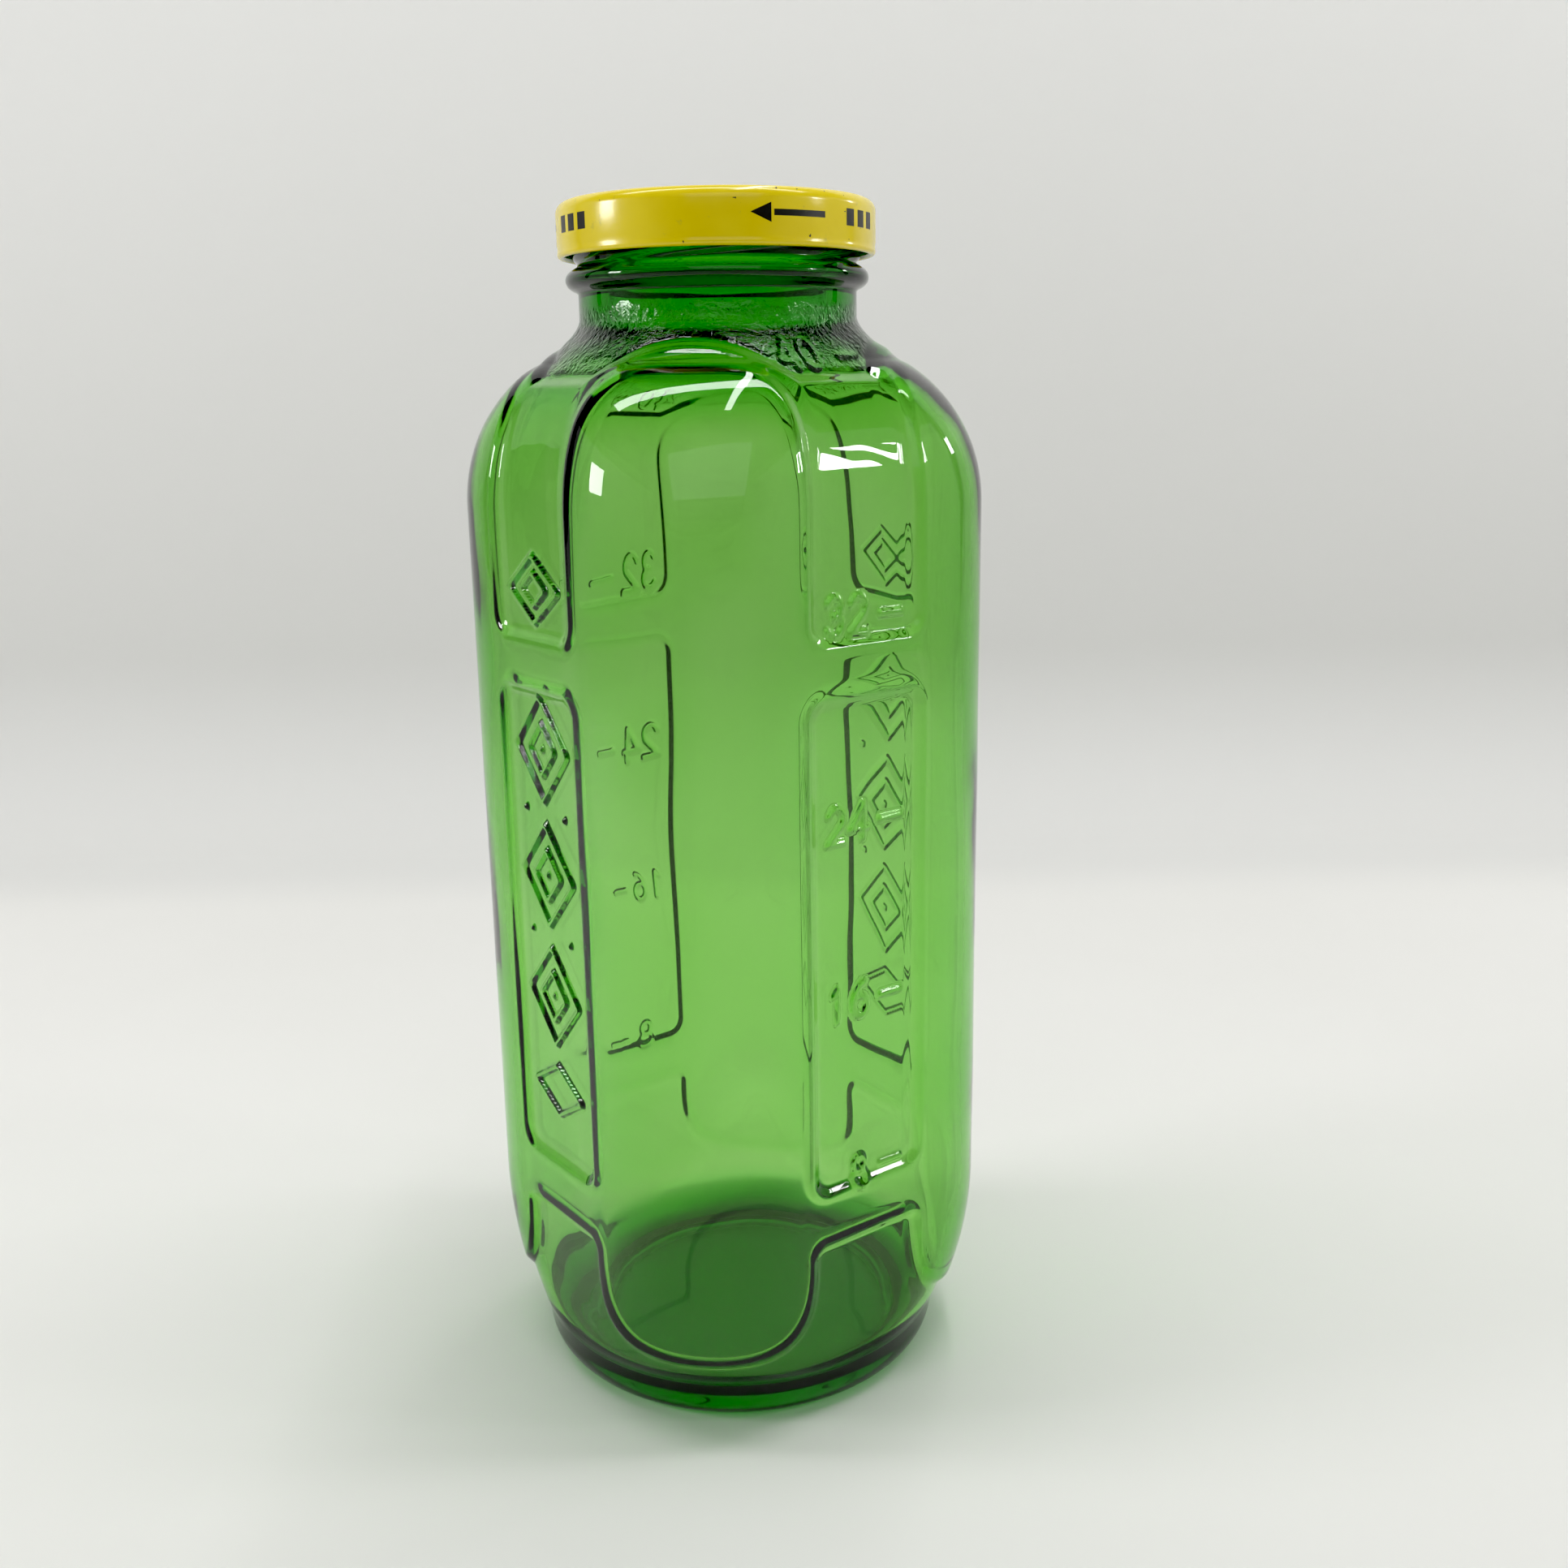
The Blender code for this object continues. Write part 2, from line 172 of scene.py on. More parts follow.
# Cap.
CAP_TOP = 241.3
CAP_BOTTOM = 231.0
CAP_RADIUS = 31.05
CAP_METAL = 0.6
CAP_CORNER = 2.2
CAP_PANEL_RADIUS = 22.5
CAP_PANEL_SINK = 0.5
CURL_RADIUS = 0.75
LUG_COUNT = 4
LUG_ANGLE = 16.0
LUG_INNER = 28.4
LUG_THICKNESS = 0.8
LUG_STEPS = 8
LUG_ROUND = 0.2
PRINT_GROUPS = 3
PRINT_FIRST = 21.0
PRINT_HEIGHT = 236.6
PRINT_PROUD = 0.02
PRINT_SINK = 0.1

# Colours and clearness.
GLASS_TINT = (0.393, 0.818, 0.053, 1.0)
GLASS_DENSITY = 400.0
GLASS_CLEAR = (1.0, 1.0, 1.0, 1.0)
# Darker tint for the thick neck glass, also used as painted shade low in the base.
GLASS_THICK_AND_SHADE = (0.5, 0.88, 0.5, 1.0)
GLASS_SHADOW = (0.24, 0.6, 0.15, 1.0)
LACQUER_DARK = (0.89, 0.7, 0.016, 1.0)
LACQUER_LIGHT = (0.93, 0.745, 0.02, 1.0)
LACQUER_RUBBED = (0.45, 0.4, 0.05, 1.0)
LACQUER_CHIPPED = (0.05, 0.045, 0.02, 1.0)
INK = (0.012, 0.011, 0.01, 1.0)
INK_WORN = (0.09, 0.08, 0.02, 1.0)
FLOOR_DARK = (0.78, 0.775, 0.745, 1.0)
FLOOR_LIGHT = (0.83, 0.825, 0.8, 1.0)
# Backdrop colours; the low one is darker than the floor as painted shade.
WALL_LOW_SHADE = (0.74, 0.74, 0.72, 1.0)
WALL_HIGH = (0.92, 0.92, 0.9, 1.0)

# Camera and light. Places in metres, angles in degrees, power in watts.
CAMERA_PLACE = (0.01158, -0.3254, 0.2065)
CAMERA_LENS = 36.26
CAMERA_PITCH = 14.12
CAMERA_ROLL = -0.86
MIDDLE = (0.0, 0.0, 0.12)
WINDOW_PANES = ((-0.042, 0.014), (0.0, 0.035), (0.032, 0.007), (0.052, 0.007))
SKY_COLOUR = (0.9, 0.92, 0.95, 1.0)
SKY_STRENGTH = 0.14
BLACK_LEVEL = 0.016


# Shapes of the glass, as functions of arrays of azimuths and heights.

def smooth_step(distance, width):
    """0 to 1 over a width, one half where the distance is nought."""
    t = np.clip(distance / width + 0.5, 0.0, 1.0)
    return t * t * (3.0 - 2.0 * t)


def smooth_max(a, b, radius):
    """The larger of two values, with a fillet where they meet."""
    h = np.maximum(radius - np.abs(a - b), 0.0) / radius
    return np.maximum(a, b) + h * h * radius * 0.25


def quarter_arc(distance, span):
    """1 at nought, falling to 0 at the span along a quarter of an ellipse."""
    t = np.clip(distance / span, 0.0, 1.0)
    return np.sqrt(1.0 - t * t)


def power_norm(x, y, power):
    """Length whose unit circle is a rounded square, squarer for a higher power."""
    return (np.abs(x) ** power + np.abs(y) ** power) ** (1.0 / power)


def rounded_corner(dx, dy, radius):
    """Distance to a rounded corner between two edges, negative inside both."""
    qx = dx + radius
    qy = dy + radius
    outside = np.hypot(np.maximum(qx, 0.0), np.maximum(qy, 0.0))
    return np.minimum(np.maximum(qx, qy), 0.0) + outside - radius


def plan_radius(azimuth, flat, lobe):
    """Radius of the rounded square with these reaches at its flat sides and lobes."""
    lobe = np.maximum(lobe, flat + 0.01)
    corner = (math.sqrt(2.0) * flat - lobe) / (math.sqrt(2.0) - 1.0)
    corner = np.maximum(corner, 0.5)
    centre = lobe - corner
    tangent = np.arctan2(corner, centre * math.sqrt(2.0) + corner)
    angle = np.radians(azimuth)
    side = flat / np.cos(math.radians(45.0) - angle)
    across = np.minimum(centre * np.sin(angle), corner)
    round_part = centre * np.cos(angle) + np.sqrt(corner * corner - across * across)
    return np.where(angle > tangent, side, round_part)


def body_reaches(z):
    """Reaches of the flat sides and the lobes at a height, with shoulder and heel."""
    above = np.maximum(z - SHOULDER_START, 0.0)
    below = np.maximum(HEEL_START - z, 0.0)
    flat_span = FLAT_REACH - FLAT_SHOULDER_CORE
    lobe_span = LOBE_REACH - LOBE_SHOULDER_CORE
    flat = FLAT_SHOULDER_CORE + flat_span * quarter_arc(above, FLAT_SHOULDER_RISE)
    lobe = LOBE_SHOULDER_CORE + lobe_span * quarter_arc(above, LOBE_SHOULDER_RISE)
    inset = 1.0 - quarter_arc(below, HEEL_DROP)
    return flat - FLAT_HEEL_INSET * inset, lobe - LOBE_HEEL_INSET * inset


def lobe_distance(azimuth, z):
    """Distance outside the outline of a lobe, arched above and bowed below."""
    half_width = LOBE_HALF_ANGLE * ARC_PER_DEGREE
    across = azimuth * ARC_PER_DEGREE / half_width
    arch = power_norm(across, (z - ARCH_SPRING) / (ARCH_TOP - ARCH_SPRING), ARCH_POWER)
    bowl = power_norm(across, (U_SPRING - z) / (U_SPRING - U_BOTTOM), U_POWER)
    norm = np.where(z > ARCH_SPRING, arch, np.where(z < U_SPRING, bowl, across))
    return (norm - 1.0) * half_width


def dome_edge(azimuth):
    """Height of the dome's lower edge, which arches over each lobe."""
    t = np.minimum(azimuth / DOME_ARCH_HALF_ANGLE, 1.0)
    return SHOULDER_LEDGE + DOME_ARCH_RISE * (1.0 - t ** DOME_ARCH_POWER)


def sunk_panels(azimuth, z, slope, widening):
    """Depth of the panels on the flat sides, each widened all round by some millimetres."""
    side = -lobe_distance(azimuth, z)
    upper = rounded_corner(side, UPPER_PANEL_BOTTOM - z, PANEL_CORNER)
    middle = 0.5 * (LOWER_PANEL_TOP + LOWER_PANEL_BOTTOM)
    half = 0.5 * (LOWER_PANEL_TOP - LOWER_PANEL_BOTTOM)
    lower = rounded_corner(side, np.abs(z - middle) - half, PANEL_CORNER)
    spread = smooth_step(azimuth - LOBE_HALF_ANGLE, 8.0)
    depth = BAND_DEPTH + (PANEL_DEPTH - BAND_DEPTH) * spread
    upper_depth = depth * smooth_step(widening - upper, slope)
    lower_depth = PANEL_DEPTH * smooth_step(widening - lower, slope)
    return np.maximum(upper_depth, lower_depth)


def foot_share(azimuth, z, slope, widening):
    """1 on the foot and round the lobes' lower ends, 0 above."""
    zone = rounded_corner(-lobe_distance(azimuth, z), z - FOOT_LEDGE, LEDGE_CORNER)
    return smooth_step(widening - zone, slope)


def foot_radius(z, body):
    """Radius of the round foot, blended upwards into the body."""
    below = np.maximum(FOOT_EDGE_HEIGHT - z, 0.0)
    rounding = FOOT_RADIUS - STANDING_RING_OUTER
    edge = FOOT_RADIUS - rounding * (1.0 - quarter_arc(below, FOOT_EDGE_HEIGHT))
    share = np.clip((z - FOOT_EDGE_HEIGHT) / FOOT_BLEND_HEIGHT, 0.0, 1.0)
    return edge + (body - FOOT_LEDGE_DEPTH - edge) * share


def neck_radius(z):
    """Radius of the neck with its ring and rounded lip."""
    root = NECK_RADIUS - BEAD_FILLET
    ring = root + (BEAD_ROUND + BEAD_FILLET) * quarter_arc(np.abs(z - BEAD_HEIGHT), BEAD_ROUND)
    radius = smooth_max(NECK_RADIUS, ring, BEAD_FILLET)
    near_lip = np.maximum(z - (LIP_TOP - LIP_ROUND), 0.0)
    return radius - (NECK_RADIUS - LIP_OUTER) * (1.0 - quarter_arc(near_lip, LIP_ROUND))


def outer_radius(azimuth, z):
    """Outside of the glass without its raised marks."""
    flat, lobe = body_reaches(z)
    body = plan_radius(azimuth, flat, lobe) - sunk_panels(azimuth, z, SLOPE_WIDTH, 0.0)
    spread = smooth_step(azimuth - LOBE_HALF_ANGLE * 0.7, 20.0)
    dome_depth = LOBE_DOME_DEPTH + (FLAT_DOME_DEPTH - LOBE_DOME_DEPTH) * spread
    dome = plan_radius(azimuth, flat - dome_depth, lobe - dome_depth)
    on_dome = smooth_step(z - dome_edge(azimuth), DOME_SLOPE_WIDTH)
    body = body + (dome - body) * on_dome
    on_foot = foot_share(azimuth, z, SLOPE_WIDTH, 0.0)
    body = body + (np.minimum(foot_radius(z, body), body) - body) * on_foot
    with_neck = smooth_max(body, neck_radius(z), NECK_FILLET)
    return np.where(z > SHOULDER_START, with_neck, body)


def inner_radius(azimuth, z):
    """Smooth inside of the glass, from the floor to the bore."""
    above = np.maximum(z - SHOULDER_START, 0.0)
    flat_span = FLAT_REACH - WALL - FLAT_SHOULDER_CORE
    lobe_span = LOBE_REACH - WALL - INNER_LOBE_CORE
    flat_rise = FLAT_SHOULDER_RISE - WALL - FLAT_DOME_DEPTH
    flat = FLAT_SHOULDER_CORE + flat_span * quarter_arc(above, flat_rise)
    lobe = INNER_LOBE_CORE + lobe_span * quarter_arc(above, LOBE_SHOULDER_RISE - WALL)
    inset = 1.0 - quarter_arc(np.maximum(HEEL_START - z, 0.0), HEEL_DROP)
    near_floor = np.maximum(FLOOR_HEIGHT + FLOOR_ROUND - z, 0.0)
    rounding = FLOOR_ROUND * (1.0 - quarter_arc(near_floor, FLOOR_ROUND))
    flat = flat - INNER_FLAT_HEEL_INSET * inset - rounding
    lobe = lobe - INNER_LOBE_HEEL_INSET * inset - rounding
    body = plan_radius(azimuth, flat, lobe)
    return np.where(z > SHOULDER_START, smooth_max(body, BORE_RADIUS, INNER_FILLET), body)


def local_azimuth(azimuth):
    """Degrees from the middle of the nearest lobe, never negative."""
    return np.abs((azimuth + 45.0) % 90.0 - 45.0)


# Raised marks, as distances to strokes on a flat side.

def to_segment(b, z, start, end):
    """Distance to one straight stroke."""
    px, pz = b - start[0], z - start[1]
    dx, dz = end[0] - start[0], end[1] - start[1]
    t = np.clip((px * dx + pz * dz) / (dx * dx + dz * dz), 0.0, 1.0)
    return np.hypot(px - t * dx, pz - t * dz)


def to_path(b, z, points):
    """Distance to a chain of straight strokes."""
    parts = [to_segment(b, z, p, q) for p, q in zip(points, points[1:])]
    return np.minimum.reduce(parts)


def oval(cx, cz, rx, rz, first=0.0, last=360.0, count=14):
    """Points of an elliptical arc, in degrees from the right, turning upwards."""
    angles = [math.radians(first + (last - first) * k / count) for k in range(count + 1)]
    return [(cx + rx * math.cos(a), cz + rz * math.sin(a)) for a in angles]


def digit_paths(digit):
    """Strokes of a digit in a box one unit wide and one unit high."""
    if digit == "0":
        return [oval(0.5, 0.5, 0.5, 0.5)]
    if digit == "1":
        return [[(0.5, 0.0), (0.5, 1.0), (0.25, 0.8)]]
    if digit == "2":
        return [oval(0.5, 0.7, 0.45, 0.3, 160.0, -40.0) + [(0.0, 0.0), (1.0, 0.0)]]
    if digit == "3":
        upper = oval(0.45, 0.74, 0.42, 0.26, 150.0, -90.0)
        return [upper, oval(0.45, 0.26, 0.48, 0.26, 90.0, -150.0)]
    if digit == "4":
        return [[(0.75, 0.0), (0.75, 1.0), (0.0, 0.3), (1.0, 0.3)]]
    if digit == "6":
        return [oval(0.5, 0.3, 0.45, 0.3), oval(0.9, 0.3, 0.85, 0.7, 180.0, 95.0)]
    return [oval(0.5, 0.74, 0.38, 0.26), oval(0.5, 0.25, 0.48, 0.25)]


def number_paths(text, left, base, height):
    """Strokes of a number that stands on a base line, with its left edge given."""
    paths = []
    width = DIGIT_WIDTH * height / DIGIT_HEIGHT
    for k, digit in enumerate(text):
        start = left + k * (width + DIGIT_GAP)
        for path in digit_paths(digit):
            paths.append([(start + x * width, base + y * height) for x, y in path])
    return paths


def lozenge(cz, half_width, half_height):
    """Closed outline of an upright lozenge."""
    return [(0.0, cz + half_height), (half_width, cz), (0.0, cz - half_height),
            (-half_width, cz), (0.0, cz + half_height)]


def bead(b, z):
    """A stroke so short that it makes a dot."""
    return [(b - 0.05, z), (b + 0.05, z)]


def measure_marks():
    """Plain numbers up a measuring side, each with a short level dash."""
    marks = []
    for text, base, height in (("8", 50.6, 6.2), ("16", 86.8, 6.8), ("24", 122.8, 6.8),
                               ("32", 162.4, 6.8), ("40", 209.6, 5.2)):
        left = NUMBER_LEFT + (2 - len(text)) * (DIGIT_WIDTH + DIGIT_GAP)
        marks += number_paths(text, left, base, height)
        dash_height = base + 0.45 * height
        marks.append([(end, dash_height) for end in DASH_ENDS])
    return marks


def ornament_marks():
    """Chains of lozenges and beads up a decorated side."""
    marks = [lozenge(170.0, 9.2, 6.4), lozenge(170.0, 4.6, 3.2)]
    for cz in (139.0, 113.5, 88.0):
        marks.append(lozenge(cz, 9.6, 10.4))
        marks.append(lozenge(cz, 4.8, 5.2))
        marks.append(bead(0.0, cz))
    marks.append(lozenge(67.5, 9.0, 5.4))
    for cz in (126.2, 100.7):
        marks += [bead(-7.4, cz), bead(7.4, cz)]
    return marks


def raised(b, z, marks):
    """Height of the raised strokes, rounded across like pressed glass."""
    height = np.zeros_like(b)
    for path in marks:
        xs = [p[0] for p in path]
        zs = [p[1] for p in path]
        near = (b > min(xs) - MARK_REACH) & (b < max(xs) + MARK_REACH)
        near &= (z > min(zs) - MARK_REACH) & (z < max(zs) + MARK_REACH)
        if not near.any():
            continue
        distance = to_path(b[near], z[near], path)
        profile = smooth_step(MARK_HALF_WIDTH - distance, MARK_EDGE)
        height[near] = np.maximum(height[near], MARK_HEIGHT * profile)
    return height


def thread_height(azimuth, z):
    """Height of the short threads that rise round the mouth."""
    ridge = np.zeros_like(z)
    half = 0.5 * THREAD_RUN_OUT
    for start in range(THREAD_STARTS):
        turn = (azimuth - THREAD_FIRST - start * 360.0 / THREAD_STARTS) % 360.0
        middle = THREAD_LOW + THREAD_PITCH * turn / 360.0
        ends = smooth_step(turn - half, THREAD_RUN_OUT)
        ends = ends * smooth_step(THREAD_SPAN - half - turn, THREAD_RUN_OUT)
        across = np.clip(np.abs(z - middle) / THREAD_HALF_WIDTH, 0.0, 1.0)
        ridge = np.maximum(ridge, ends * (0.5 + 0.5 * np.cos(math.pi * across)))
    return THREAD_HEIGHT * ridge


def wave(azimuth, z, seed):
    """Gentle uneven swell of moulded glass, between about -1 and 1."""
    rng = np.random.default_rng(seed)
    total = np.zeros_like(z)
    for turns in (1, 2, 3, 4, 5, 7, 9, 12):
        for _ in range(2):
            length = rng.uniform(28.0, 110.0)
            phase = rng.uniform(0.0, math.tau)
            total += np.sin(np.radians(azimuth) * turns + z * math.tau / length + phase) / 5.0
    return total


def on_pebbles(azimuth, z):
    """1 on the pebbled dome under the neck, 0 elsewhere."""
    edge = dome_edge(local_azimuth(azimuth))
    return smooth_step(z - edge - PEBBLE_MARGIN, 1.2) * smooth_step(PEBBLE_TOP - z, 3.0)


def pebbles(azimuth, z):
    """Uneven small bumps between 0 and 1, from a seeded lattice that closes round the neck."""
    turns = int(round(math.tau * NECK_RADIUS / PEBBLE_SIZE))
    lattice = np.random.default_rng(3).random((PEBBLE_ROWS, turns))
    u = (azimuth % 360.0) / 360.0 * turns
    v = (z - PEBBLE_ORIGIN) / PEBBLE_SIZE
    column = np.floor(u).astype(int)
    row = np.floor(v).astype(int)
    s = smooth_step(u - column - 0.5, 1.0)
    t = smooth_step(v - row - 0.5, 1.0)

    def along(which):
        here = lattice[which % PEBBLE_ROWS, column % turns]
        beside = lattice[which % PEBBLE_ROWS, (column + 1) % turns]
        return here * (1 - s) + beside * s

    return along(row) * (1 - t) + along(row + 1) * t


def glass_outside(azimuth, z):
    """Outside of the glass with its marks, pebbles and threads."""
    radius = outer_radius(local_azimuth(azimuth), z) - SKIN_INSET
    radius += thread_height(azimuth, z)
    radius -= SWELL * (1.0 + wave(azimuth, z, 5)) * (z > SWELL_LOW)
    radius -= PEBBLE_DEPTH * on_pebbles(azimuth, z) * pebbles(azimuth, z)
    for flat in range(4):
        off = (azimuth - 45.0 - 90.0 * flat + 180.0) % 360.0 - 180.0
        near = np.abs(off) < MARK_SIDE_ANGLE
        b = radius[near] * np.sin(np.radians(off[near]))
        marks = measure_marks() if flat % 2 == 0 else ornament_marks()
        radius[near] += raised(b, z[near], marks)
    return radius


def inner_relief(azimuth, z):
    """How far the blown inside comes inwards behind the sunk areas, less a general easing."""
    panels = sunk_panels(azimuth, z, INNER_SLOPE_WIDTH, INNER_SPREAD)
    foot = FOOT_LEDGE_DEPTH * foot_share(azimuth, z, INNER_SLOPE_WIDTH, INNER_SPREAD)
    on_lobe = smooth_step(24.0 - azimuth, 16.0) * smooth_step(z - 194.0, 12.0)
    depth = INNER_FOLLOW * np.maximum(panels, foot) - INNER_EASE - SHOULDER_EASE * on_lobe
    return depth * smooth_step(z - 17.0, 8.0) * smooth_step(211.0 - z, 9.0)


def glass_inside(azimuth, z):
    """Inside of the glass, with a swell that dies out in the neck and at the floor."""
    fade = np.clip((225.0 - z) / 30.0, 0.0, 1.0)
    fade = fade * np.clip((z - SWELL_LOW) / 20.0, 0.0, 1.0)
    local = local_azimuth(azimuth)
    radius = inner_radius(local, z) - inner_relief(local, z)
    return radius - INNER_SWELL * fade * wave(azimuth, z, 11)


# Mesh building.

def grid_points(azimuths, heights, radius_of):
    """Rows of points round the axis, one row for each height."""
    azimuth, z = np.meshgrid(azimuths, heights)
    radius = radius_of(azimuth, z)
    angle = np.radians(azimuth + LOBE_TURN - 90.0)
    points = np.stack([radius * np.cos(angle), radius * np.sin(angle), z], -1)
    return points * MM


def spaced(first, last, step):
    """Even values from first up to, but without, last."""
    count = max(int(round(abs(last - first) / step)), 1)
    return list(np.linspace(first, last, count + 1))[:-1]


def outer_azimuths():
    """Azimuths of the columns, closest together along the edges of the lobes."""
    eighth = spaced(0.0, 16.0, 1.6) + spaced(16.0, 27.2, 0.6)
    eighth += spaced(27.2, 30.2, 0.2) + spaced(30.2, 45.0, 0.46)
    quarter = eighth + [45.0] + [90.0 - a for a in reversed(eighth[1:])]
    return [lobe * 90.0 + a for lobe in range(4) for a in quarter]


def outer_heights():
    """Heights of the rows outside, from the foot to the lip."""
    foot = spaced(0.3, 14.0, 0.7) + spaced(14.0, 42.0, 0.36)
    body = spaced(42.0, 186.0, 0.5)
    neck = spaced(186.0, 217.0, 0.33) + spaced(217.0, LIP_TOP - LIP_ROUND, 0.35)
    lip = [LIP_TOP - LIP_ROUND * k for k in (1.0, 0.75, 0.5, 0.3, 0.15, 0.05)]
    return foot + body + neck + lip


def inner_heights():
    """Heights of the rows inside, from the lip down to the floor."""
    lip = [LIP_TOP - 0.15, LIP_TOP - 0.4]
    neck = spaced(LIP_TOP - LIP_ROUND, 215.0, 1.2) + spaced(215.0, 166.0, 0.8)
    ledges = spaced(166.0, 145.0, 0.5)
    body = spaced(145.0, 57.0, 3.0) + spaced(57.0, FLOOR_HEIGHT + FLOOR_ROUND, 0.6)
    turn = [FLOOR_HEIGHT + FLOOR_ROUND * (1.0 - math.sin(t)) for t in
            np.linspace(0.0, 0.5 * math.pi - 0.04, 16)]
    return lip + neck + ledges + body + turn


def circle_rows(azimuths, pairs):
    """Level circles of points, from pairs of radius and height."""
    angle = np.radians(np.array(azimuths) + LOBE_TURN - 90.0)
    rows = [np.stack([r * np.cos(angle), r * np.sin(angle), np.full_like(angle, z)], -1)
            for r, z in pairs]
    return np.array(rows) * MM


def ring_mesh(name, rows, first_tip, last_tip):
    """Closed mesh from rows of points, with a fan to a tip at each end."""
    count = rows.shape[1]
    points = [rows.reshape(-1, 3)]
    faces = []
    for r in range(rows.shape[0] - 1):
        a = np.arange(count) + r * count
        b = np.roll(np.arange(count), -1) + r * count
        faces.append(np.stack([a, b, b + count, a + count], -1))
    quads = np.concatenate(faces)
    total = rows.shape[0] * count
    points.append(np.array([first_tip, last_tip]) * MM)
    k = np.arange(count)
    n = np.roll(k, -1)
    start_fan = np.stack([n, k, np.full(count, total)], -1)
    last = (rows.shape[0] - 1) * count
    end_fan = np.stack([k + last, n + last, np.full(count, total + 1)], -1)
    mesh = bpy.data.meshes.new(name)
    mesh.from_pydata(np.concatenate(points).tolist(), [],
                     quads.tolist() + start_fan.tolist() + end_fan.tolist())
    return mesh


def finish_piece(name, mesh, material, sharp_angle):
    """Turns the faces outwards, smooths them and puts the piece into the scene."""
    turned = bmesh.new()
    turned.from_mesh(mesh)
    bmesh.ops.recalc_face_normals(turned, faces=turned.faces)
    turned.to_mesh(mesh)
    turned.free()
    mesh.shade_smooth()
    if sharp_angle is not None:
        mesh.set_sharp_from_angle(angle=math.radians(sharp_angle))
    mesh.materials.append(material)
    piece = bpy.data.objects.new(name, mesh)
    bpy.context.scene.collection.objects.link(piece)
    return piece


def build_glass(material):
    """The whole glass as one closed skin, from the push-up round to the floor inside."""
    azimuths = outer_azimuths()
    base = [(0.3, PUSH_UP), (12.0, PUSH_UP), (22.0, PUSH_UP), (28.0, PUSH_UP),
            (31.0, 0.8 * PUSH_UP), (32.6, 0.35 * PUSH_UP), (33.4, 0.08 * PUSH_UP),
            (STANDING_RING_INNER + 0.4, 0.0), (STANDING_RING_OUTER - 0.3, 0.0)]
    rim = [(LIP_OUTER, LIP_TOP), (0.5 * (LIP_OUTER + LIP_INNER), LIP_TOP), (LIP_INNER, LIP_TOP)]
    floor = [(20.0, FLOOR_HEIGHT), (10.0, FLOOR_HEIGHT), (0.3, FLOOR_HEIGHT)]
    rows = np.concatenate([
        circle_rows(azimuths, base),
        grid_points(azimuths, outer_heights(), glass_outside),
        circle_rows(azimuths, rim),
        grid_points(azimuths, inner_heights(), glass_inside),
        circle_rows(azimuths, floor),
    ])
    mesh = ring_mesh("glass_body", rows, (0.0, 0.0, PUSH_UP), (0.0, 0.0, FLOOR_HEIGHT))
    add_stipple_weight(mesh, rows.reshape(-1, 3))
    return finish_piece("glass_body", mesh, material, None)


def add_stipple_weight(mesh, points):
    """Marks the pebbled outside of the dome under the neck for the material."""
    x, y, z = (points / MM).T
    azimuth = np.degrees(np.arctan2(y, x)) - LOBE_TURN + 90.0
    outside = np.hypot(x, y) > inner_radius(local_azimuth(azimuth), z) + 1.0
    weight = np.zeros(len(mesh.vertices))
    weight[:len(points)] = on_pebbles(azimuth, z) * outside
    layer = mesh.attributes.new("stipple", "FLOAT", "POINT")
    layer.data.foreach_set("value", weight)


def cap_profile():
    """Section of the cap, from the axis over the top, down and back inside."""
    top = CAP_TOP
    section = [(CAP_PANEL_RADIUS - 1.2, top - CAP_PANEL_SINK)]
    section += [(CAP_PANEL_RADIUS - 0.6, top - 0.42 * CAP_PANEL_SINK), (CAP_PANEL_RADIUS, top)]
    for k in range(13):
        angle = math.radians(90.0 - 7.5 * k)
        section.append((CAP_RADIUS - CAP_CORNER + CAP_CORNER * math.cos(angle),
                        top - CAP_CORNER + CAP_CORNER * math.sin(angle)))
    section.append((CAP_RADIUS, CAP_BOTTOM + 3.2 * CURL_RADIUS))
    section.append((CAP_RADIUS - 0.12, CAP_BOTTOM + 2.2 * CURL_RADIUS))
    for k in range(11):
        angle = math.radians(20.0 - 22.0 * k)
        section.append((CAP_RADIUS - CURL_RADIUS + CURL_RADIUS * math.cos(angle),
                        CAP_BOTTOM + CURL_RADIUS + CURL_RADIUS * math.sin(angle)))
    wall = CAP_RADIUS - CAP_METAL
    under = top - CAP_METAL
    corner = CAP_CORNER - CAP_METAL
    section += [(wall, CAP_BOTTOM + 2.2 * CURL_RADIUS), (wall, under - corner),
                (wall - 0.3 * corner, under - 0.3 * corner), (wall - corner, under),
                (CAP_PANEL_RADIUS, under), (CAP_PANEL_RADIUS - 1.2, under - CAP_PANEL_SINK)]
    return section


def build_cap(material):
    """The pressed metal, as one closed skin round its section."""
    azimuths = [1.5 * k for k in range(240)]
    section = cap_profile()
    rows = circle_rows(azimuths, section)
    outer_tip = (0.0, 0.0, section[0][1])
    inner_tip = (0.0, 0.0, section[-1][1])
    mesh = ring_mesh("cap_shell", rows, outer_tip, inner_tip)
    return finish_piece("cap_shell", mesh, material, 40.0)


def add_ring(mesh, azimuth, corners):
    """Corners of radius and height, set upright at an azimuth in degrees."""
    angle = math.radians(azimuth)
    x = MM * math.cos(angle)
    y = MM * math.sin(angle)
    return [mesh.verts.new((r * x, r * y, z * MM)) for r, z in corners]


def join_rings(mesh, rings):
    """Closed bar through rings that all have the same number of corners."""
    count = len(rings[0])
    for first, second in zip(rings, rings[1:]):
        for k in range(count):
            n = (k + 1) % count
            mesh.faces.new((first[k], first[n], second[n], second[k]))
    mesh.faces.new(rings[0])
    mesh.faces.new(reversed(rings[-1]))


def take_mesh(name, mesh):
    """Mesh data from a finished edit mesh."""
    data = bpy.data.meshes.new(name)
    mesh.to_mesh(data)
    mesh.free()
    return data


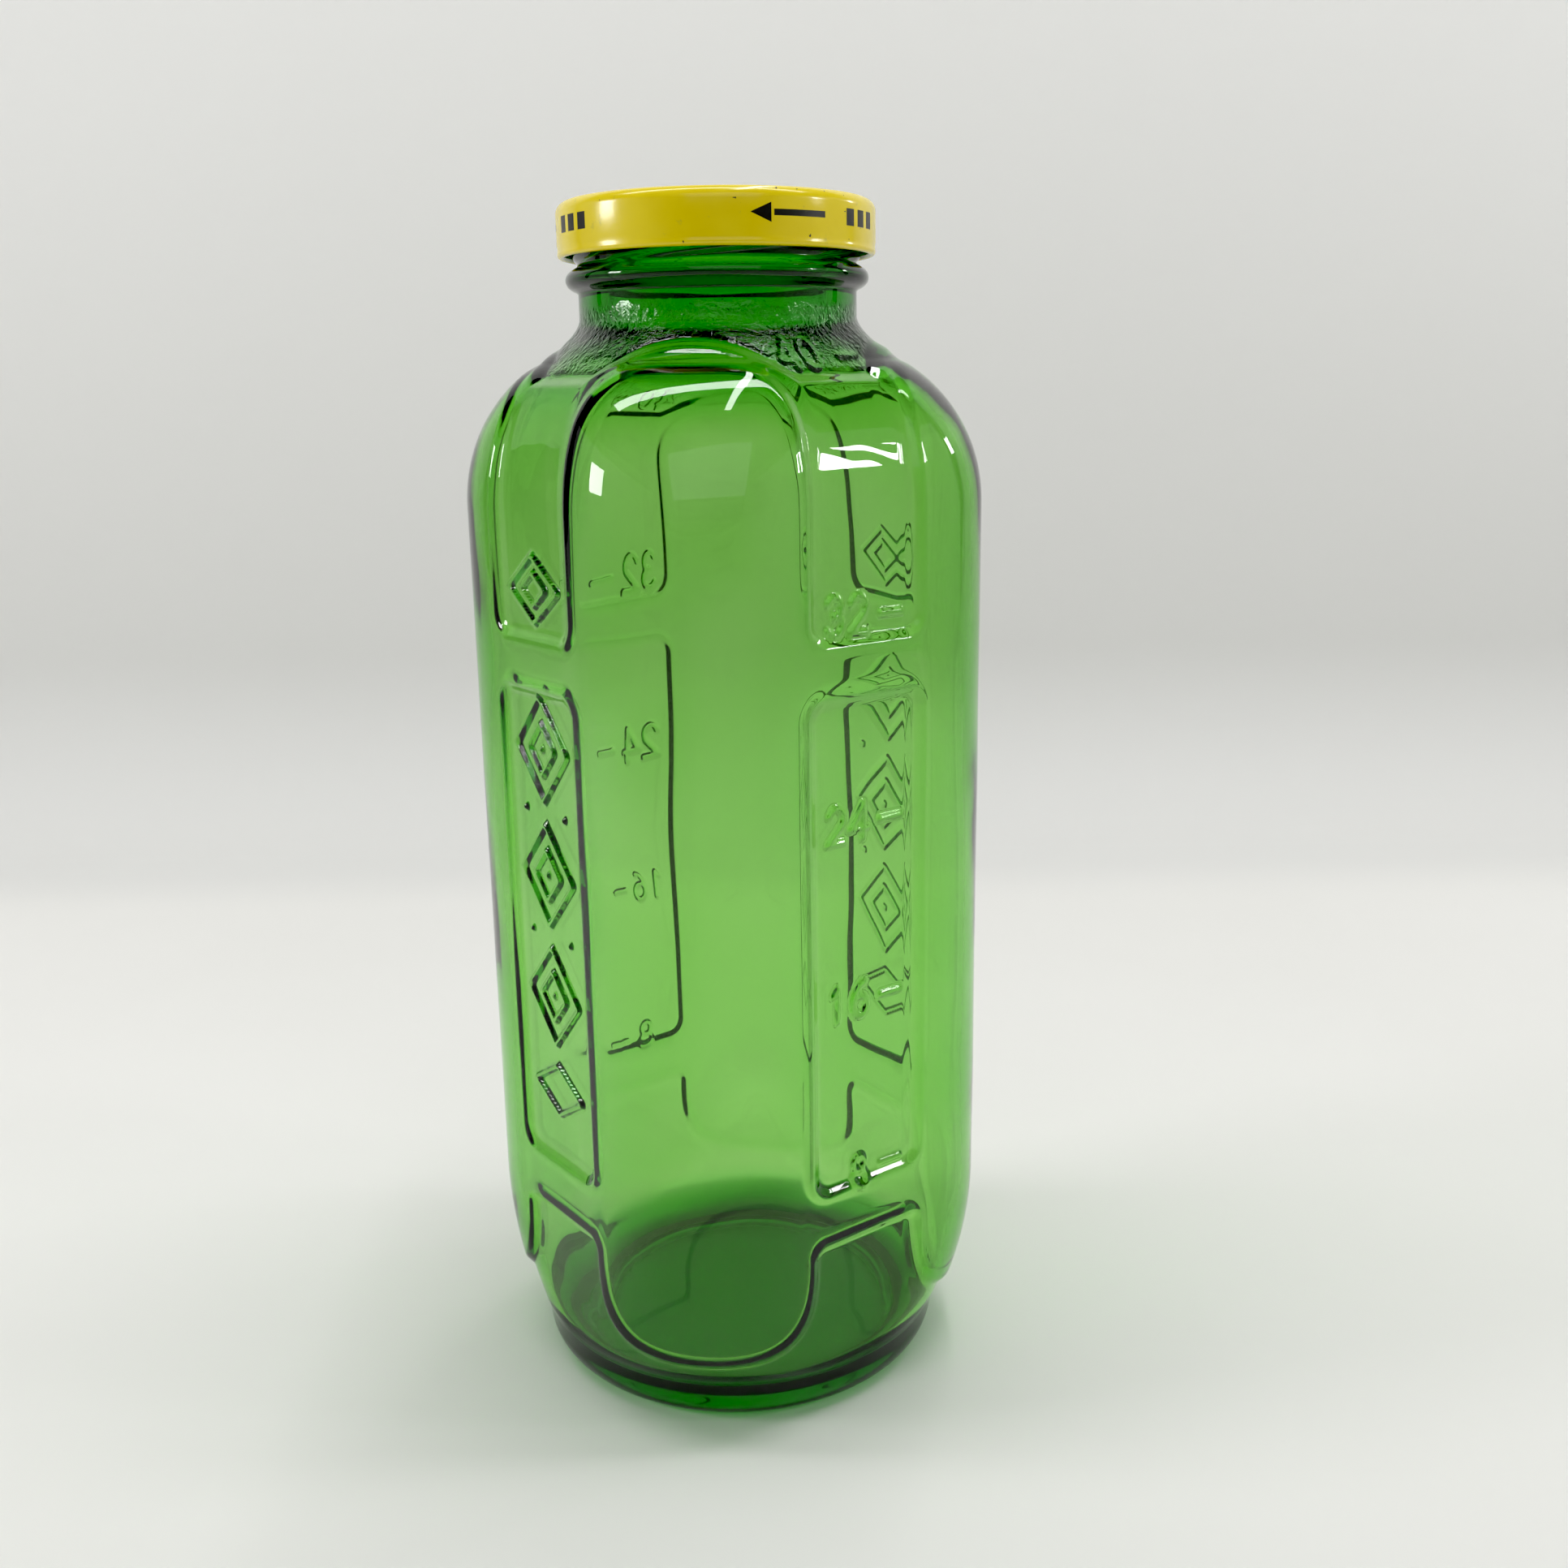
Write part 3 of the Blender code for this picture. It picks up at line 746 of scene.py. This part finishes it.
def build_lugs(material):
    """Four tabs bent in under the rolled edge."""
    mesh = bmesh.new()
    outer = CAP_RADIUS - CURL_RADIUS
    low = CAP_BOTTOM + 0.35 * CURL_RADIUS
    for lug in range(LUG_COUNT):
        middle = 360.0 * lug / LUG_COUNT + LOBE_TURN + 45.0
        rings = []
        for step in range(LUG_STEPS + 1):
            share = step / LUG_STEPS - 0.5
            inner = LUG_INNER + 0.9 * (2.0 * abs(share)) ** 4
            bent = inner + LUG_ROUND
            high = low + LUG_THICKNESS
            corners = ((outer, low), (bent, low), (inner, low + LUG_ROUND),
                       (inner, high - LUG_ROUND), (bent, high), (outer, high))
            rings.append(add_ring(mesh, middle + LUG_ANGLE * share, corners))
        join_rings(mesh, rings)
    return finish_piece("cap_lugs", take_mesh("cap_lugs", mesh), material, 40.0)


def add_mark_strip(mesh, columns):
    """One printed shape on the cap's skirt, from columns of azimuth and half height."""
    front = CAP_RADIUS + PRINT_PROUD
    back = CAP_RADIUS - PRINT_SINK
    rings = []
    for azimuth, half in columns:
        low = PRINT_HEIGHT - half
        high = PRINT_HEIGHT + half
        corners = ((front, low), (front, high), (back, high), (back, low))
        rings.append(add_ring(mesh, azimuth + LOBE_TURN - 90.0, corners))
    join_rings(mesh, rings)


def build_print(material):
    """Turning arrows and blocks printed round the skirt, three times."""
    mesh = bmesh.new()
    for group in range(PRINT_GROUPS):
        first = PRINT_FIRST + 360.0 / PRINT_GROUPS * group
        head = [(first + 7.0 * k / 5.0, 0.05 + 1.65 * k / 5.0) for k in range(6)]
        add_mark_strip(mesh, head)
        shaft = [(first + 8.0 + 20.0 * k / 8.0, 0.55) for k in range(9)]
        add_mark_strip(mesh, shaft)
        for block in range(3):
            start = first + 39.0 + 7.2 * block
            columns = [(start + 4.6 * k / 3.0, 1.5) for k in range(4)]
            add_mark_strip(mesh, columns)
    return finish_piece("cap_print", take_mesh("cap_print", mesh), material, 30.0)


# Materials.

class Graph:
    """Small helper that adds and links shader nodes."""

    def __init__(self, name):
        self.material = bpy.data.materials.new(name)
        self.material.use_nodes = True
        self.tree = self.material.node_tree
        self.shader = self.tree.nodes["Principled BSDF"]
        self.output = self.tree.nodes["Material Output"]

    def feed(self, socket, value):
        """Links a socket to another, or gives it a plain value."""
        if isinstance(value, bpy.types.NodeSocket):
            self.tree.links.new(value, socket)
        else:
            socket.default_value = value

    def add(self, kind, inputs=None, **settings):
        """A new node with its settings, and its inputs by name or place."""
        node = self.tree.nodes.new(kind)
        for key, value in settings.items():
            setattr(node, key, value)
        for key, value in (inputs or {}).items():
            self.feed(node.inputs[key], value)
        return node

    def math(self, operation, a, b):
        node = self.add("ShaderNodeMath", {0: a, 1: b}, operation=operation)
        return node.outputs[0]

    def ramp(self, value, low, high, out_low=0.0, out_high=1.0):
        """Smooth change from one value to another while the input goes from low to high."""
        inputs = {"Value": value, "From Min": low, "From Max": high}
        inputs.update({"To Min": out_low, "To Max": out_high})
        node = self.add("ShaderNodeMapRange", inputs, interpolation_type="SMOOTHSTEP")
        return node.outputs["Result"]

    def mix(self, factor, a, b):
        """Blend of two colours."""
        node = self.add("ShaderNodeMix", {0: factor, 6: a, 7: b}, data_type="RGBA")
        return node.outputs[2]

    def noise(self, place, scale, detail, roughness=0.5):
        inputs = {"Vector": place, "Scale": scale, "Detail": detail, "Roughness": roughness}
        return self.add("ShaderNodeTexNoise", inputs).outputs[0]

    def place(self):
        return self.add("ShaderNodeTexCoord").outputs["Object"]

    def set(self, name, value):
        """Feeds an input of the main shader."""
        self.feed(self.shader.inputs[name], value)


def glass_material():
    """Clear green glass, pebbled on the dome and faintly scuffed, tinted darker where it is
    thick in the neck, with painted shade tinted into the base.
    """
    g = Graph("green_glass")
    place = g.place()
    pebbles = g.noise(place, 950.0, 2.0, 0.6)
    stipple = g.add("ShaderNodeAttribute", attribute_name="stipple").outputs["Fac"]
    swell = g.noise(place, 60.0, 1.0)
    on_dome = g.math("MULTIPLY", pebbles, stipple)
    height = g.math("ADD", on_dome, g.math("MULTIPLY", swell, 0.25))
    bump = g.add("ShaderNodeBump", {"Height": height, "Strength": 0.8, "Distance": 0.0005})
    scuffs = g.noise(place, 240.0, 6.0, 0.75)
    worn = g.ramp(scuffs, 0.6, 0.74, 0.0, 0.09)
    height_up = g.add("ShaderNodeSeparateXYZ", {0: place}).outputs["Z"]
    neck = g.ramp(height_up, 0.203, 0.217)
    # The low band is tinted darker partly for the thicker glass of the base and partly as
    # painted shade, for the shaded floor seen through it.
    base = g.ramp(height_up, 0.014, 0.007)
    thick_and_shade = g.math("MAXIMUM", neck, base)
    g.set("Base Color", g.mix(thick_and_shade, GLASS_CLEAR, GLASS_THICK_AND_SHADE))
    g.set("Transmission Weight", 1.0)
    g.set("IOR", 1.5)
    g.set("Roughness", worn)
    g.set("Normal", bump.outputs[0])
    clear = g.add("ShaderNodeBsdfTransparent", {"Color": GLASS_SHADOW}).outputs[0]
    is_shadow = g.add("ShaderNodeLightPath").outputs["Is Shadow Ray"]
    choice = {0: is_shadow, 1: g.shader.outputs[0], 2: clear}
    surface = g.add("ShaderNodeMixShader", choice).outputs[0]
    g.feed(g.output.inputs["Surface"], surface)
    absorbed = {"Color": GLASS_TINT, "Density": GLASS_DENSITY}
    tint = g.add("ShaderNodeVolumeAbsorption", absorbed).outputs[0]
    g.feed(g.output.inputs["Volume"], tint)
    return g.material


def lacquer_material():
    """Glossy yellow lacquer, cloudy, rubbed and flecked with small chips."""
    g = Graph("yellow_lacquer")
    place = g.place()
    cloud = g.noise(place, 90.0, 3.0)
    colour = g.mix(g.ramp(cloud, 0.35, 0.7), LACQUER_DARK, LACQUER_LIGHT)
    rub = g.ramp(g.noise(place, 330.0, 5.0, 0.7), 0.62, 0.72)
    colour = g.mix(g.math("MULTIPLY", rub, 0.4), colour, LACQUER_RUBBED)
    fleck = g.ramp(g.noise(place, 700.0, 2.0), 0.73, 0.76)
    colour = g.mix(fleck, colour, LACQUER_CHIPPED)
    ripple = g.noise(place, 420.0, 2.0)
    bump = g.add("ShaderNodeBump", {"Height": ripple, "Strength": 0.12, "Distance": 0.0002})
    g.set("Base Color", colour)
    g.set("Roughness", g.ramp(cloud, 0.3, 0.75, 0.14, 0.24))
    g.set("Normal", bump.outputs[0])
    g.set("Coat Weight", 0.3)
    g.set("Coat Roughness", 0.08)
    return g.material


def ink_material():
    """Black print, worn through in places."""
    g = Graph("black_print")
    place = g.place()
    worn = g.ramp(g.noise(place, 900.0, 4.0, 0.7), 0.6, 0.7)
    g.set("Base Color", g.mix(worn, INK, INK_WORN))
    g.set("Roughness", 0.3)
    return g.material


def floor_material():
    """Pale matt floor, painted with shade that darkens it towards the back where it turns up,
    and cooler and lighter up the walls.
    """
    g = Graph("pale_floor")
    place = g.place()
    cloud = g.noise(place, 6.0, 3.0)
    pale = g.mix(cloud, FLOOR_DARK, FLOOR_LIGHT)
    where = g.add("ShaderNodeSeparateXYZ", {0: place})
    # Painted shade: the floor darkens into the low wall colour towards the back, before it bends
    # up into the backdrop.
    far = g.ramp(where.outputs["Y"], SHADE_START, SHADE_END)
    high = g.ramp(where.outputs["Z"], 0.03, 0.5)
    wall = g.mix(high, WALL_LOW_SHADE, WALL_HIGH)
    g.set("Base Color", g.mix(far, pale, wall))
    g.set("Roughness", 0.7)
    return g.material


# Stage, lights and camera.

def add_sheet(mesh, first, second):
    """Faces between two rows of points."""
    a = [mesh.verts.new(point) for point in first]
    b = [mesh.verts.new(point) for point in second]
    for k in range(len(first) - 1):
        mesh.faces.new((a[k], b[k], b[k + 1], a[k + 1]))


def bend(start, radius):
    """Floor line from a start that turns up through a quarter circle into a wall."""
    line = [(start, 0.0)]
    for k in range(1, BEND_STEPS + 1):
        angle = math.radians(90.0 * k / BEND_STEPS)
        along = start + radius * math.sin(angle)
        line.append((along, radius * (1.0 - math.cos(angle))))
    line.append((start + radius, WALL_HEIGHT))
    return line


def add_stage():
    """Pale floor that turns up into a backdrop behind the object and into walls at its sides."""
    mesh = bmesh.new()
    back = [(STAGE_FRONT, 0.0)] + bend(BEND_START, BEND_RADIUS)
    left_edge = [(-SIDE_REACH, y, z) for y, z in back]
    right_edge = [(SIDE_REACH, y, z) for y, z in back]
    add_sheet(mesh, left_edge, right_edge)
    for side in (-1.0, 1.0):
        rise = bend(SIDE_REACH, SIDE_ROUND)
        near = [(side * x, STAGE_FRONT, z) for x, z in rise]
        far = [(side * x, BEND_START + BEND_RADIUS, z) for x, z in rise]
        add_sheet(mesh, near, far)
    data = take_mesh("stage_floor", mesh)
    data.shade_smooth()
    data.materials.append(floor_material())
    floor = bpy.data.objects.new("stage_floor", data)
    bpy.context.scene.collection.objects.link(floor)


def add_area(name, location, target, size, power):
    """White rectangular lamp that shows only in what it lights and in reflections."""
    light = bpy.data.lights.new(name, "AREA")
    light.shape = "RECTANGLE"
    light.size, light.size_y = size
    light.energy = power
    lamp = bpy.data.objects.new(name, light)
    lamp.visible_camera = False
    lamp.visible_transmission = False
    lamp.location = location
    aim = Vector(target) - Vector(location)
    lamp.rotation_euler = aim.to_track_quat("-Z", "Y").to_euler()
    bpy.context.scene.collection.objects.link(lamp)


def add_lights():
    """Two tubes overhead, a soft fill in front, and small windows at the sides."""
    add_area("main_tube", (0.0, 0.0, 1.4), (0.0, 0.0, 0.0), (2.0, 0.14), 9.4)
    add_area("back_tube", (0.25, 0.3, 1.5), (0.0, 0.3, 0.0), (1.6, 0.08), 5.4)
    add_area("front_fill", (0.2, -1.5, 1.0), MIDDLE, (1.6, 1.0), 3.5)
    add_area("window_left", (-0.75, -0.15, 0.37), MIDDLE, (0.17, 0.17), 1.4)
    add_area("window_right", (0.75, 0.3, 0.42), MIDDLE, (0.06, 0.08), 0.3)
    for k, (shift, width) in enumerate(WINDOW_PANES):
        place = (0.8 + 0.196 * shift, -0.19 + 0.98 * shift, 0.44)
        add_area(f"window_pane_{k}", place, MIDDLE, (width, 0.12), 10.0 * width)
    world = bpy.data.worlds.new("soft_room")
    world.use_nodes = True
    sky = world.node_tree.nodes["Background"]
    sky.inputs["Color"].default_value = SKY_COLOUR
    sky.inputs["Strength"].default_value = SKY_STRENGTH
    bpy.context.scene.world = world


def add_camera():
    """Close view from slightly above, as fitted to the photograph."""
    camera = bpy.data.cameras.new("camera")
    camera.lens = CAMERA_LENS
    camera.sensor_width = 36.0
    camera.clip_start = 0.01
    camera.clip_end = 20.0
    eye = bpy.data.objects.new("camera", camera)
    place = Matrix.Translation(CAMERA_PLACE)
    pitch = Matrix.Rotation(math.radians(90.0 - CAMERA_PITCH), 4, "X")
    roll = Matrix.Rotation(math.radians(CAMERA_ROLL), 4, "Z")
    eye.matrix_world = place @ pitch @ roll
    bpy.context.scene.collection.objects.link(eye)
    bpy.context.scene.camera = eye


def set_print_contrast():
    """Plain sRGB view with slightly deepened blacks."""
    view = bpy.context.scene.view_settings
    view.view_transform = "Standard"
    view.use_curve_mapping = True
    view.curve_mapping.black_level = (BLACK_LEVEL, BLACK_LEVEL, BLACK_LEVEL)
    view.curve_mapping.update()


def main():
    """Builds the pieces in place of the hidden parts, hangs them on one body, and lights them.
    """
    glass = build_glass(glass_material())
    lacquer = lacquer_material()
    cap = build_cap(lacquer)
    lugs = build_lugs(lacquer)
    marks = build_print(ink_material())
    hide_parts("bottle")
    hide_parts("cap")
    for piece in (glass, cap, lugs, marks):
        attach(piece, "root")
    add_stage()
    add_lights()
    add_camera()
    set_print_contrast()


main()
